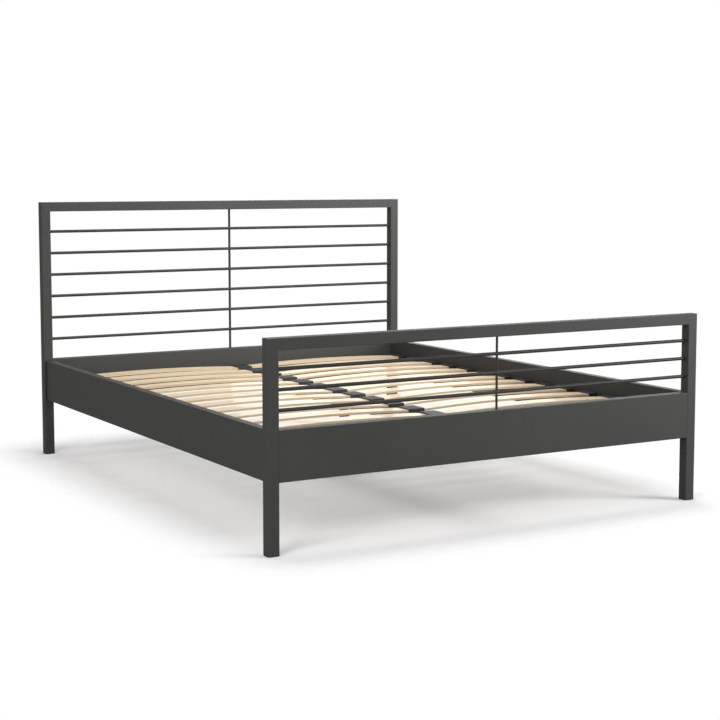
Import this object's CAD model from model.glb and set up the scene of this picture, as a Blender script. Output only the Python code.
import math

import bmesh
import bpy
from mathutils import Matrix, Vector


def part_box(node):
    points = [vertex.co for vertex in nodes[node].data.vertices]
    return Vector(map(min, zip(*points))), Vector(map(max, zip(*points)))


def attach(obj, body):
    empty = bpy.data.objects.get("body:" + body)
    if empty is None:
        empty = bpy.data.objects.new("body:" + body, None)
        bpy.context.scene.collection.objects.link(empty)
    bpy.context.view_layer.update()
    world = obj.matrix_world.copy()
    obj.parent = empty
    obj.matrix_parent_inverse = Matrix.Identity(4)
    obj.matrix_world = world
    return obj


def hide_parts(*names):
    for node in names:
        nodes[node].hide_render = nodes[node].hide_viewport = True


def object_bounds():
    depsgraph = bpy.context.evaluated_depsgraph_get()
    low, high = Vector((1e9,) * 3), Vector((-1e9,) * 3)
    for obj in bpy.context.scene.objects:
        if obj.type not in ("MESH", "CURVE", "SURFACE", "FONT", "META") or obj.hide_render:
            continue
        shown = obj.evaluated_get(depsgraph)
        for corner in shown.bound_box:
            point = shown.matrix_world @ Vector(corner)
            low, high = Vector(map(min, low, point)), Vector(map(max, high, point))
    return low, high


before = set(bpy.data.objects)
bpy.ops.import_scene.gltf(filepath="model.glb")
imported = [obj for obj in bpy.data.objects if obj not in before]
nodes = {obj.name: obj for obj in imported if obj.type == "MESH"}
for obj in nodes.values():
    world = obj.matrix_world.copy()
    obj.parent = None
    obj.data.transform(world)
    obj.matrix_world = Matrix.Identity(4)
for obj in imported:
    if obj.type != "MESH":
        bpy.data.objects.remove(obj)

cad_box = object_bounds()


# ---- Posts, top rails, panels and side rails --------------------------------------------------
# Head and foot end are welded from square steel tube and folded box sections, ground flush at
# the mitres, then powder-coated in satin anthracite. The coat has a fine orange peel, is pulled
# thin over the edges, and carries a trace of dust on what faces up.
class Wire:
    """A node's output that takes part in sums like a number."""

    def __init__(self, finish, socket):
        self.finish = finish
        self.socket = socket

    def math(self, operation, first, second):
        return self.finish.node("Math", {"operation": operation}, {0: first, 1: second})

    def __add__(self, other):
        return self.math("ADD", self, other)

    def __radd__(self, other):
        return self.math("ADD", other, self)

    def __sub__(self, other):
        return self.math("SUBTRACT", self, other)

    def __rsub__(self, other):
        return self.math("SUBTRACT", other, self)

    def __mul__(self, other):
        return self.math("MULTIPLY", self, other)

    def __rmul__(self, other):
        return self.math("MULTIPLY", other, self)

    def __truediv__(self, other):
        return self.math("DIVIDE", self, other)

    def __rtruediv__(self, other):
        return self.math("DIVIDE", other, self)

    def __abs__(self):
        return self.math("ABSOLUTE", self, 0.0)

    def most(self, other):
        """The larger of the two."""
        return self.math("MAXIMUM", self, other)

    def step(self, low, high):
        """0 at low and 1 at high, with a soft start and end."""
        return self.finish.node("MapRange", {"interpolation_type": "SMOOTHSTEP"},
                                {"Value": self, "From Min": low, "From Max": high})

    def part(self, output):
        """Another output of the same node."""
        return Wire(self.finish, self.socket.node.outputs[output])


class Finish:
    """A material built up from nodes round one Principled shader."""

    def __init__(self, name):
        self.material = bpy.data.materials.new(name)
        self.material.use_nodes = True
        self.tree = self.material.node_tree
        self.shader = self.tree.nodes["Principled BSDF"]

    def node(self, kind, settings, sockets, output=0):
        made = self.tree.nodes.new("ShaderNode" + kind)
        for name, value in settings.items():
            setattr(made, name, value)
        for name, value in sockets.items():
            self.feed(made.inputs[name], value)
        return Wire(self, made.outputs[output])

    def feed(self, socket, value):
        if isinstance(value, Wire):
            self.tree.links.new(value.socket, socket)
        else:
            socket.default_value = value

    def place(self):
        """Where a point is on the bed, in metres."""
        return self.node("TexCoord", {}, {}, "Object")

    def facing(self):
        """The surface's own direction, as X, with Y and Z in the next two outputs."""
        return self.node("SeparateXYZ", {}, {0: self.node("TexCoord", {}, {}, "Normal")})

    def stretched(self, scale):
        return self.node("Mapping", {}, {"Vector": self.place(), "Scale": scale})

    def noise(self, vector, scale, detail, roughness=0.5):
        return self.node("TexNoise", {}, {"Vector": vector, "Scale": scale, "Detail": detail,
                                          "Roughness": roughness})

    def blend(self, factor, first, second):
        """The first colour where factor is 0 and the second where it is 1."""
        return self.node("Mix", {"data_type": "RGBA"},
                         {0: factor, 6: (*first, 1.0) if isinstance(first, tuple) else first,
                          7: (*second, 1.0) if isinstance(second, tuple) else second}, 2)

    def relief(self, height, depth, strength):
        return self.node("Bump", {}, {"Height": height, "Distance": depth, "Strength": strength})

    def coat(self, sockets):
        """Sets the shader's own sockets and gives back the finished material."""
        for name, value in sockets.items():
            self.feed(self.shader.inputs[name], value)
        return self.material


anthracite = (0.041, 0.041, 0.0375)
thin_coat = (0.085, 0.085, 0.083)
dust = (0.26, 0.25, 0.23)
peel_depth = 0.00025


def powder_coat(name, shade, square_edges, lumps):
    """Satin powder coat in a shade of anthracite. lumps is the height of weld ripples under it."""
    paint = Finish(name)
    peel = paint.noise(paint.place(), 420.0, 2.0)
    grit = paint.noise(paint.place(), 2600.0, 1.0)
    cloud = paint.noise(paint.place(), 3.0, 4.0, 0.6)
    facing = paint.facing()
    up = facing.part(2)
    settled = up.step(0.55, 1.0) * paint.noise(paint.place(), 26.0, 5.0, 0.7).step(0.42, 0.72)
    tint = paint.blend(cloud.step(0.3, 0.7), tuple(0.94 * shade * c for c in anthracite),
                       tuple(1.06 * shade * c for c in anthracite))
    tint = paint.blend(grit.step(0.55, 0.75) * 0.25, tint, thin_coat)
    rough = 0.42 + cloud * 0.06 + grit * 0.05
    if square_edges:
        flat = abs(facing).most(abs(facing.part(1))).most(abs(up))
        edge = 1.0 - flat.step(0.80, 0.985)
        tint = paint.blend(edge * 0.5, tint, thin_coat)
        rough = rough - edge * 0.08
    tint = paint.blend(settled * 0.12, tint, dust)
    surface = peel * 0.8 + grit * 0.2
    if lumps:
        surface = surface + paint.noise(paint.place(), 900.0, 2.0) * (lumps / peel_depth)
    return paint.coat({"Base Color": tint, "Roughness": rough + settled * 0.10,
                       "Specular IOR Level": 0.30,
                       "Normal": paint.relief(surface, peel_depth, 0.45)})


def finish_nodes(names, material):
    for name in names:
        nodes[name].material_slots[0].material = material


coated_tube = powder_coat("coated_tube", 1.0, True, 0.0)
finish_nodes(("head_post_left", "head_post_right", "head_top_rail", "head_panel",
              "foot_post_left", "foot_post_right", "foot_top_rail", "foot_panel",
              "side_rail_left", "side_rail_right"), coated_tube)


# ---- Cross rods and uprights ------------------------------------------------------------------
# Thin round tubes run from post to post, with short upright pieces coped to their backs. They
# are coated together with the posts, so the finish is the same without the square edges.
coated_rod = powder_coat("coated_rod", 0.62, False, 0.0)
head_rods = sorted(name for name in nodes if name.startswith("head_rod_"))
foot_rods = sorted(name for name in nodes if name.startswith("foot_rod_"))
finish_nodes(head_rods + foot_rods + ["head_uprights", "foot_uprights"], coated_rod)


# ---- Welds round the rods and uprights --------------------------------------------------------
# Each rod is welded all round to the posts, and each upright to the rods, rail and panel above
# and below it. The small fillets show the ripple of the bead through the coat.
coated_weld = powder_coat("coated_weld", 0.8, False, 0.0002)
weld_sides = 40
rod_leg = 0.0022
upright_leg = 0.0014
sink = 0.0002                                           # how far a weld reaches into the metal
hollow_face = ((0.10, 0.55), (0.30, 0.27), (0.60, 0.08))  # along and out of the corner, in legs


def new_piece(name, mesh, material, body):
    """Turns mesh code into a smooth piece that rides on a body."""
    data = bpy.data.meshes.new(name)
    mesh.normal_update()
    mesh.to_mesh(data)
    mesh.free()
    for face in data.polygons:
        face.use_smooth = True
    data.materials.append(material)
    piece = bpy.data.objects.new(name, data)
    bpy.context.scene.collection.objects.link(piece)
    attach(piece, body)
    return piece


def join_rows(mesh, rows, closed):
    """Skins rows of points with faces. closed joins each row's last point to its first."""
    made = [[mesh.verts.new(point) for point in row] for row in rows]
    count = len(made[0])
    for low, high in zip(made, made[1:]):
        for i in range(count if closed else count - 1):
            j = (i + 1) % count
            mesh.faces.new((low[i], low[j], high[j], high[i]))
    return made


def ripple(angle, turns):
    return 1.0 + 0.10 * math.sin(turns * angle) + 0.05 * math.sin(2.3 * turns * angle + 1.0)


def fillet(leg, sunk):
    """Points along and out of a corner for a hollow fillet whose two edges are sunk."""
    return [(-sunk, leg)] + [(leg * along, leg * out) for along, out in hollow_face] + [(leg, -sunk)]


def rod_weld(mesh, end, inward, y, z, radius):
    columns = []
    for i in range(weld_sides):
        angle = 2.0 * math.pi * i / weld_sides
        column = []
        for along, out in fillet(rod_leg * ripple(angle, 11), sink):
            r = radius + out
            column.append((end + inward * along, y + r * math.cos(angle), z + r * math.sin(angle)))
        columns.append(column)
    join_rows(mesh, list(zip(*columns)), True)


for end_name, rods in (("head", head_rods), ("foot", foot_rods)):
    mesh = bmesh.new()
    for name in rods:
        low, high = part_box(name)
        y, z = (low[1] + high[1]) / 2, (low[2] + high[2]) / 2
        radius = (high[2] - low[2]) / 2
        rod_weld(mesh, low[0], 1.0, y, z, radius)
        rod_weld(mesh, high[0], -1.0, y, z, radius)
    new_piece(end_name + "_rod_welds", mesh, coated_weld, "frame")


def upright_weld(mesh, y, base, side, radius, rod_radius):
    """Fillet where an upright meets a rod, or a flat face if rod_radius is 0. side is 1 above."""
    reach = 0.97 * rod_radius
    columns = []
    for i in range(weld_sides):
        angle = 2.0 * math.pi * i / weld_sides
        leg = upright_leg * ripple(angle, 7)
        column = []
        for along, out in fillet(leg, 0.1 * leg):
            r = radius + out
            across = r * math.sin(angle)
            height = base
            if rod_radius:
                across = max(-reach, min(reach, across))
                height += side * math.sqrt(rod_radius ** 2 - across ** 2)
            column.append((r * math.cos(angle), y + across, height + side * along))
        columns.append(column)
    join_rows(mesh, list(zip(*columns)), True)


for end_name, rods in (("head", head_rods), ("foot", foot_rods)):
    mesh = bmesh.new()
    low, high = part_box(end_name + "_uprights")
    y, radius = (low[1] + high[1]) / 2, (high[0] - low[0]) / 2
    upright_weld(mesh, y, low[2], 1.0, radius, 0.0)
    upright_weld(mesh, y, high[2], -1.0, radius, 0.0)
    for name in rods:
        rod_low, rod_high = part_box(name)
        middle, rod_radius = (rod_low[2] + rod_high[2]) / 2, (rod_high[2] - rod_low[2]) / 2
        upright_weld(mesh, y, middle, 1.0, radius, rod_radius)
        upright_weld(mesh, y, middle, -1.0, radius, rod_radius)
    new_piece(end_name + "_upright_welds", mesh, coated_weld, "frame")


# ---- Ledges, beam, seats, brackets and leg ----------------------------------------------------
# The inner steelwork is cut from angle, tube and plate and coated with the rest. Ledges are
# stitch-welded to the side rails, the seats to the end panels and the leg to its plate.
def soften(name, width):
    """Rounds a node's sharp edges."""
    edges = nodes[name].modifiers.new("soft_edges", "BEVEL")
    edges.width = width
    edges.segments = 2
    edges.limit_method = "ANGLE"
    edges.angle_limit = math.radians(40.0)
    edges.use_clamp_overlap = True


cut_steel = ("ledge_left", "ledge_right", "centre_beam", "beam_seat_head", "beam_seat_foot",
             "corner_bracket_head_left", "corner_bracket_head_right", "corner_bracket_foot_left",
             "corner_bracket_foot_right", "centre_leg", "leg_plate")
deburred_edge = 0.0004
finish_nodes(cut_steel, coated_tube)
for name in cut_steel:
    soften(name, deburred_edge)

bead_leg = 0.003
bead_step = 0.0012
bead_inset = 0.002                                      # from the ends of the edge it follows
full_face = ((1.0, 0.0), (0.86, 0.38), (0.66, 0.66), (0.38, 0.86), (0.0, 1.0))  # in legs


def bead(mesh, start, end, first, second):
    """Fillet weld along an inner corner between two faces with the directions first and second."""
    start, end, first, second = Vector(start), Vector(end), Vector(first), Vector(second)
    count = max(4, round((end - start).length / bead_step))
    rows = []
    for i in range(count + 1):
        t = i / count
        tapered = min(1.0, 6.0 * t + 0.15, 6.0 * (1.0 - t) + 0.15)
        leg = bead_leg * tapered * (1.0 + 0.09 * math.sin(i * 1.7))
        corner = start.lerp(end, t) - (first + second) * sink
        rows.append([corner + (first * a + second * b) * leg for a, b in full_face])
    made = join_rows(mesh, rows, False)
    mesh.faces.new(made[0])
    mesh.faces.new(list(reversed(made[-1])))


row_centres = sorted((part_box(name)[0][1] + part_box(name)[1][1]) / 2
                     for name in nodes if name.startswith("slat_pair_"))
stitch_length = 0.030
stitch_middles = [(a + b) / 2 for a, b in zip(row_centres[::2], row_centres[1::2])]
mesh = bmesh.new()
for name, side in (("ledge_left", -1.0), ("ledge_right", 1.0)):
    low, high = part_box(name)
    wall = high[0] if side > 0 else low[0]
    for middle in stitch_middles:
        for z, outward in ((high[2], 1.0), (low[2], -1.0)):
            bead(mesh, (wall, middle - stitch_length / 2, z), (wall, middle + stitch_length / 2, z),
                 (-side, 0, 0), (0, 0, outward))
new_piece("ledge_welds", mesh, coated_weld, "frame")

mesh = bmesh.new()
for name, side in (("beam_seat_head", 1.0), ("beam_seat_foot", -1.0)):
    low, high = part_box(name)
    wall = high[1] if side > 0 else low[1]
    for x, outward in ((low[0], -1.0), (high[0], 1.0)):
        bead(mesh, (x, wall, low[2] + bead_inset), (x, wall, high[2] - bead_inset),
             (outward, 0, 0), (0, -side, 0))
new_piece("seat_welds", mesh, coated_weld, "frame")

mesh = bmesh.new()
low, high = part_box("centre_leg")
for x, outward in ((low[0], -1.0), (high[0], 1.0)):
    bead(mesh, (x, low[1] + bead_inset, high[2]), (x, high[1] - bead_inset, high[2]),
         (outward, 0, 0), (0, 0, -1))
for y, outward in ((low[1], -1.0), (high[1], 1.0)):
    bead(mesh, (low[0] + bead_inset, y, high[2]), (high[0] - bead_inset, y, high[2]),
         (0, outward, 0), (0, 0, -1))
new_piece("leg_weld", mesh, coated_weld, "frame")


# ---- Bolts, washers and nuts ------------------------------------------------------------------
# Cold-formed steel fasteners, zinc-plated with a faint blue passivation and a few dull spots.
def zinc_plate():
    zinc = Finish("zinc_plate")
    cloud = zinc.noise(zinc.place(), 260.0, 4.0, 0.6)
    fine = zinc.noise(zinc.place(), 3000.0, 1.0)
    tint = zinc.blend(cloud.step(0.35, 0.65), (0.56, 0.575, 0.60), (0.68, 0.68, 0.66))
    tint = zinc.blend(cloud.step(0.62, 0.80) * 0.5, tint, (0.42, 0.41, 0.38))
    return zinc.coat({"Base Color": tint, "Metallic": 1.0, "Roughness": 0.24 + cloud * 0.22,
                      "Normal": zinc.relief(fine + cloud, 0.00006, 0.35)})


plated = zinc_plate()
finish_nodes(("bolts", "washers", "weld_nuts", "jam_nut"), plated)


# ---- Levelling spindle ------------------------------------------------------------------------
# A zinc-plated screw with a rolled thread and a pressed-on hexagon, turned by hand or spanner to
# bring the pad to the floor.
spindle_low, spindle_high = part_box("foot_spindle")
pad_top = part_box("foot_pad")[1][2]
crest = 0.00495
root = 0.00420
pitch = 0.0015
thread_profile = ((0.0, root), (0.32, crest), (0.55, crest), (0.87, root))
thread_sides = 28
thread_off_hexagon = 0.0005
plain_end = 0.0015
point_chamfer = 0.0008
overlap = 0.001                                         # of the core with the hexagon
shank_overlap = 0.0005                                  # of the shank in the pad with the hexagon
hexagon_wide = (spindle_high[0] - spindle_low[0]) / 2
hexagon_flat = hexagon_wide * math.cos(math.pi / 6)
hexagon_height = 0.005
hexagon_sides = 72
hexagon_chamfer = 0.0006
hexagon_face = 0.985 * hexagon_flat
thread_start = pad_top + hexagon_height


def thread_rows(bottom, top):
    """Rows of a helical thread round the Z axis, one row for each side of the circle."""
    steps = int((top - bottom) / pitch) * thread_sides
    rows = []
    for i in range(steps + 1):
        angle = 2.0 * math.pi * i / thread_sides
        z = bottom + pitch * i / thread_sides
        runout = min(1.0, i / thread_sides, (steps - i) / thread_sides)
        row = []
        for up, radius in thread_profile:
            r = root + (radius - root) * runout
            row.append((r * math.cos(angle), r * math.sin(angle), z + up * pitch))
        rows.append(row)
    return rows


def lathe_rows(profile, sides):
    turned = [2.0 * math.pi * i / sides for i in range(sides)]
    return [[(radius * math.cos(angle), radius * math.sin(angle), z) for angle in turned]
            for radius, z in profile]


def hexagon_rows(bottom, top):
    """A hexagon with its six corners chamfered round at both faces."""
    rows = []
    for z, limit in ((bottom, hexagon_face), (bottom + hexagon_chamfer, hexagon_wide),
                     (top - hexagon_chamfer, hexagon_wide), (top, hexagon_face)):
        row = []
        for i in range(hexagon_sides):
            angle = 2.0 * math.pi * i / hexagon_sides
            off_flat = (angle + math.pi / 6) % (math.pi / 3) - math.pi / 6
            toward = math.pi / 6 - abs(off_flat)
            radius = min(limit, hexagon_flat / math.cos(toward))
            row.append((radius * math.cos(angle), radius * math.sin(angle), z))
        rows.append(row)
    return rows


def solid(mesh, rows):
    """Skins closed rows and caps both ends."""
    made = join_rows(mesh, rows, True)
    mesh.faces.new(list(reversed(made[0])))
    mesh.faces.new(made[-1])


mesh = bmesh.new()
join_rows(mesh, thread_rows(thread_start + thread_off_hexagon, spindle_high[2] - plain_end), False)
solid(mesh, lathe_rows(((root, thread_start - overlap), (root, spindle_high[2] - point_chamfer),
                        (root - point_chamfer, spindle_high[2])), thread_sides))
solid(mesh, lathe_rows(((crest, spindle_low[2]), (crest, pad_top + shank_overlap)), thread_sides))
solid(mesh, hexagon_rows(pad_top, thread_start))
spindle = new_piece("threaded_spindle", mesh, plated, "levelling_foot")
for face in spindle.data.polygons:
    face.use_smooth = False
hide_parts("foot_spindle")


# ---- Glides, pad, insert and slat holders -----------------------------------------------------
# Injection-moulded black plastic with a fine spark-eroded grain, softened edges and a slight
# sheen where it has flowed. Glides plug into the posts, and each holder is held by its own peg.
def moulded_plastic():
    plastic = Finish("moulded_plastic")
    grain = plastic.noise(plastic.place(), 1500.0, 2.0)
    flow = plastic.noise(plastic.stretched((60.0, 18.0, 60.0)), 1.0, 4.0)
    tint = plastic.blend(flow, (0.012, 0.012, 0.013), (0.022, 0.022, 0.023))
    return plastic.coat({"Base Color": tint, "Roughness": 0.46 + flow * 0.16,
                         "Normal": plastic.relief(grain, 0.00012, 0.45)})


black_plastic = moulded_plastic()
slat_holders = ["slat_holders_left", "slat_holders_right", "slat_holders_centre"]
finish_nodes(["post_glides", "leg_insert", "foot_pad"] + slat_holders, black_plastic)
moulded_edge = 0.0007
for name in slat_holders:
    soften(name, moulded_edge)


# ---- Bowed slats ------------------------------------------------------------------------------
# Six birch veneers glued in a curved press, planed to width, with rounded long edges and a clear
# lacquer. The grain runs along the slat and the glue lines show on its edges.
slat_low, slat_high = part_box("slat_pair_01")
slat_inner = 0.00275                                    # from the middle of the bed
slat_length = slat_high[0] - slat_inner
slat_middle = (slat_high[0] + slat_inner) / 2
slat_thick = 0.008
veneers = 6
slat_bow = slat_high[2] - slat_low[2] - slat_thick
bow_radius = slat_length ** 2 / (8.0 * slat_bow)
veneer_thick = slat_thick / veneers
row_pitch = row_centres[1] - row_centres[0]


def birch_veneer():
    birch = Finish("birch_veneer")
    position = birch.node("SeparateXYZ", {}, {0: birch.place()})
    lengthwise = position.part(1)
    row = birch.node("Math", {"operation": "ROUND"}, {0: (lengthwise - row_centres[0]) / row_pitch})
    side = birch.node("Math", {"operation": "SIGN"}, {0: position})
    board = birch.node("TexWhiteNoise", {"noise_dimensions": "2D"},
                       {"Vector": birch.node("CombineXYZ", {}, {0: row, 1: side})})
    # every slat is cut from its own stretch of the log
    log = birch.node("CombineXYZ", {}, {0: position + board * 7.0, 1: lengthwise + board * 3.0,
                                        2: position.part(2)})
    long_grain = birch.node("Mapping", {}, {"Vector": log, "Scale": (2.2, 34.0, 60.0)})
    figure = birch.node("TexNoise", {}, {"Vector": long_grain, "Scale": 1.6, "Detail": 7.0,
                                         "Roughness": 0.62, "Distortion": 0.7})
    vessels = birch.node("Mapping", {}, {"Vector": log, "Scale": (26.0, 1300.0, 1300.0)})
    pores = birch.noise(vessels, 1.0, 3.0)
    tint = birch.blend(figure.step(0.32, 0.68), (0.60, 0.455, 0.285), (0.73, 0.60, 0.42))
    tint = birch.blend(board * 0.35, tint, (0.74, 0.60, 0.42))
    tint = birch.blend(pores.step(0.58, 0.74) * 0.30, tint, (0.36, 0.235, 0.12))
    off_middle = abs(position) - slat_middle
    depth = (slat_high[2] - off_middle * off_middle / (2.0 * bow_radius)) - position.part(2)
    ply = depth / veneer_thick
    layer = birch.node("Math", {"operation": "FRACT"}, {0: ply})
    whole = birch.node("Math", {"operation": "FLOOR"}, {0: ply})
    across = birch.node("Math", {"operation": "MODULO"}, {0: whole, 1: 2.0})
    on_edge = abs(birch.facing().part(1)).step(0.6, 0.9)
    glue = abs(layer - 0.5).step(0.40, 0.49)
    tint = birch.blend(on_edge * across * 0.35, tint, (0.42, 0.28, 0.15))
    tint = birch.blend(on_edge * glue * 0.75, tint, (0.20, 0.12, 0.06))
    return birch.coat({"Base Color": tint, "Roughness": 0.36 + pores * 0.18, "Coat Weight": 0.15,
                       "Normal": birch.relief(pores * 0.6 + figure * 0.4, 0.00018, 0.35)})


slat_pairs = sorted(name for name in nodes if name.startswith("slat_pair_"))
finish_nodes(slat_pairs, birch_veneer())
rounded_edge = 0.0016
for name in slat_pairs:
    soften(name, rounded_edge)


# ---- Floor, light and camera ------------------------------------------------------------------
# A pale paper floor fades into a white surround just beyond the bed. A large softbox hangs
# overhead, one stands on each side of the foot end, a wide one stands on the right beyond the
# head end, and a small one is aimed at the headboard.
floor_reach = 14.0
floor_shift = 0.10                                      # of the fade, to the right of the bed's middle
floor_fade = (0.02, 0.42)
floor_seen = (0.93, 0.93, 0.93)
floor_bounce = (0.35, 0.35, 0.35)
corners = ((-floor_reach, -floor_reach, 0), (floor_reach, -floor_reach, 0),
           (floor_reach, floor_reach, 0), (-floor_reach, floor_reach, 0))
floor_mesh = bpy.data.meshes.new("floor")
floor_mesh.from_pydata(corners, [], [(0, 1, 2, 3)])
floor = bpy.data.objects.new("floor", floor_mesh)
bpy.context.scene.collection.objects.link(floor)
paper = Finish("floor_paper")
spot = paper.node("SeparateXYZ", {}, {0: paper.place()})
beside = (abs(spot - floor_shift) - cad_box[1][0]).most(0.0)
beyond = (abs(spot.part(1)) - cad_box[1][1]).most(0.0)
away = paper.node("Math", {"operation": "SQRT"}, {0: beside * beside + beyond * beyond})
seen = paper.node("LightPath", {}, {}, "Is Camera Ray")
paper.coat({"Base Color": paper.blend(seen, floor_bounce, floor_seen), "Roughness": 0.9,
            "Specular IOR Level": 0.0})
clear = paper.node("BsdfTransparent", {}, {})
faded = paper.node("MixShader", {}, {0: away.step(*floor_fade),
                                     1: Wire(paper, paper.shader.outputs[0]), 2: clear})
paper.feed(paper.tree.nodes["Material Output"].inputs["Surface"], faded)
floor_mesh.materials.append(paper.material)

fill_light = 0.346
white = (1.0, 1.0, 1.0, 1.0)
world = bpy.data.worlds.new("surround")
world.use_nodes = True
surround = world.node_tree.nodes["Background"]
surround.inputs["Color"].default_value = white
ray = world.node_tree.nodes.new("ShaderNodeLightPath")
level = world.node_tree.nodes.new("ShaderNodeMapRange")
level.inputs["To Min"].default_value = fill_light
level.inputs["To Max"].default_value = 1.0
world.node_tree.links.new(ray.outputs["Is Camera Ray"], level.inputs["Value"])
world.node_tree.links.new(level.outputs[0], surround.inputs["Strength"])
bpy.context.scene.world = world


def aim(thing, place, target):
    """Puts a lamp or camera at a place and turns it to a target."""
    thing.location = place
    thing.rotation_euler = (Vector(target) - Vector(place)).to_track_quat("-Z", "Y").to_euler()
    bpy.context.scene.collection.objects.link(thing)


def softbox(name, place, target, size, power, spread=180.0):
    light = bpy.data.lights.new(name, "AREA")
    light.shape = "RECTANGLE"
    light.size, light.size_y = size
    light.energy = power
    light.spread = math.radians(spread)
    lamp = bpy.data.objects.new(name, light)
    lamp.visible_camera = False
    aim(lamp, place, target)


softbox("overhead", (0.3, 0.2, 4.0), (0.0, 0.0, 0.0), (3.0, 3.0), 105.0)
softbox("right_of_foot", (4.0, -4.0, 1.8), (0.0, -0.5, 0.4), (2.0, 2.5), 213.0)
softbox("on_headboard", (0.8, -1.2, 2.6), (0.2, 1.04, 0.75), (1.6, 0.8), 8.5, 70.0)
softbox("left_front", (-4.0, -3.0, 2.0), (0.0, 0.0, 0.4), (2.0, 2.0), 104.0)
softbox("behind_right", (4.6, 6.2, 1.4), (0.0, 0.0, 0.5), (4.0, 2.0), 75.0)

bpy.context.scene.view_settings.view_transform = "Standard"
camera_roll = 0.0022
optics = bpy.data.cameras.new("camera")
optics.lens = 79.63
optics.sensor_width = 36.0
optics.shift_x = -0.05
optics.shift_y = -0.0493
optics.clip_end = 200.0
camera = bpy.data.objects.new("camera", optics)
aim(camera, (-2.9765, -5.3100, 1.1765), (0.2320, 0.0, 0.5726))
camera.rotation_euler.rotate_axis("Z", camera_roll)
bpy.context.scene.camera = camera
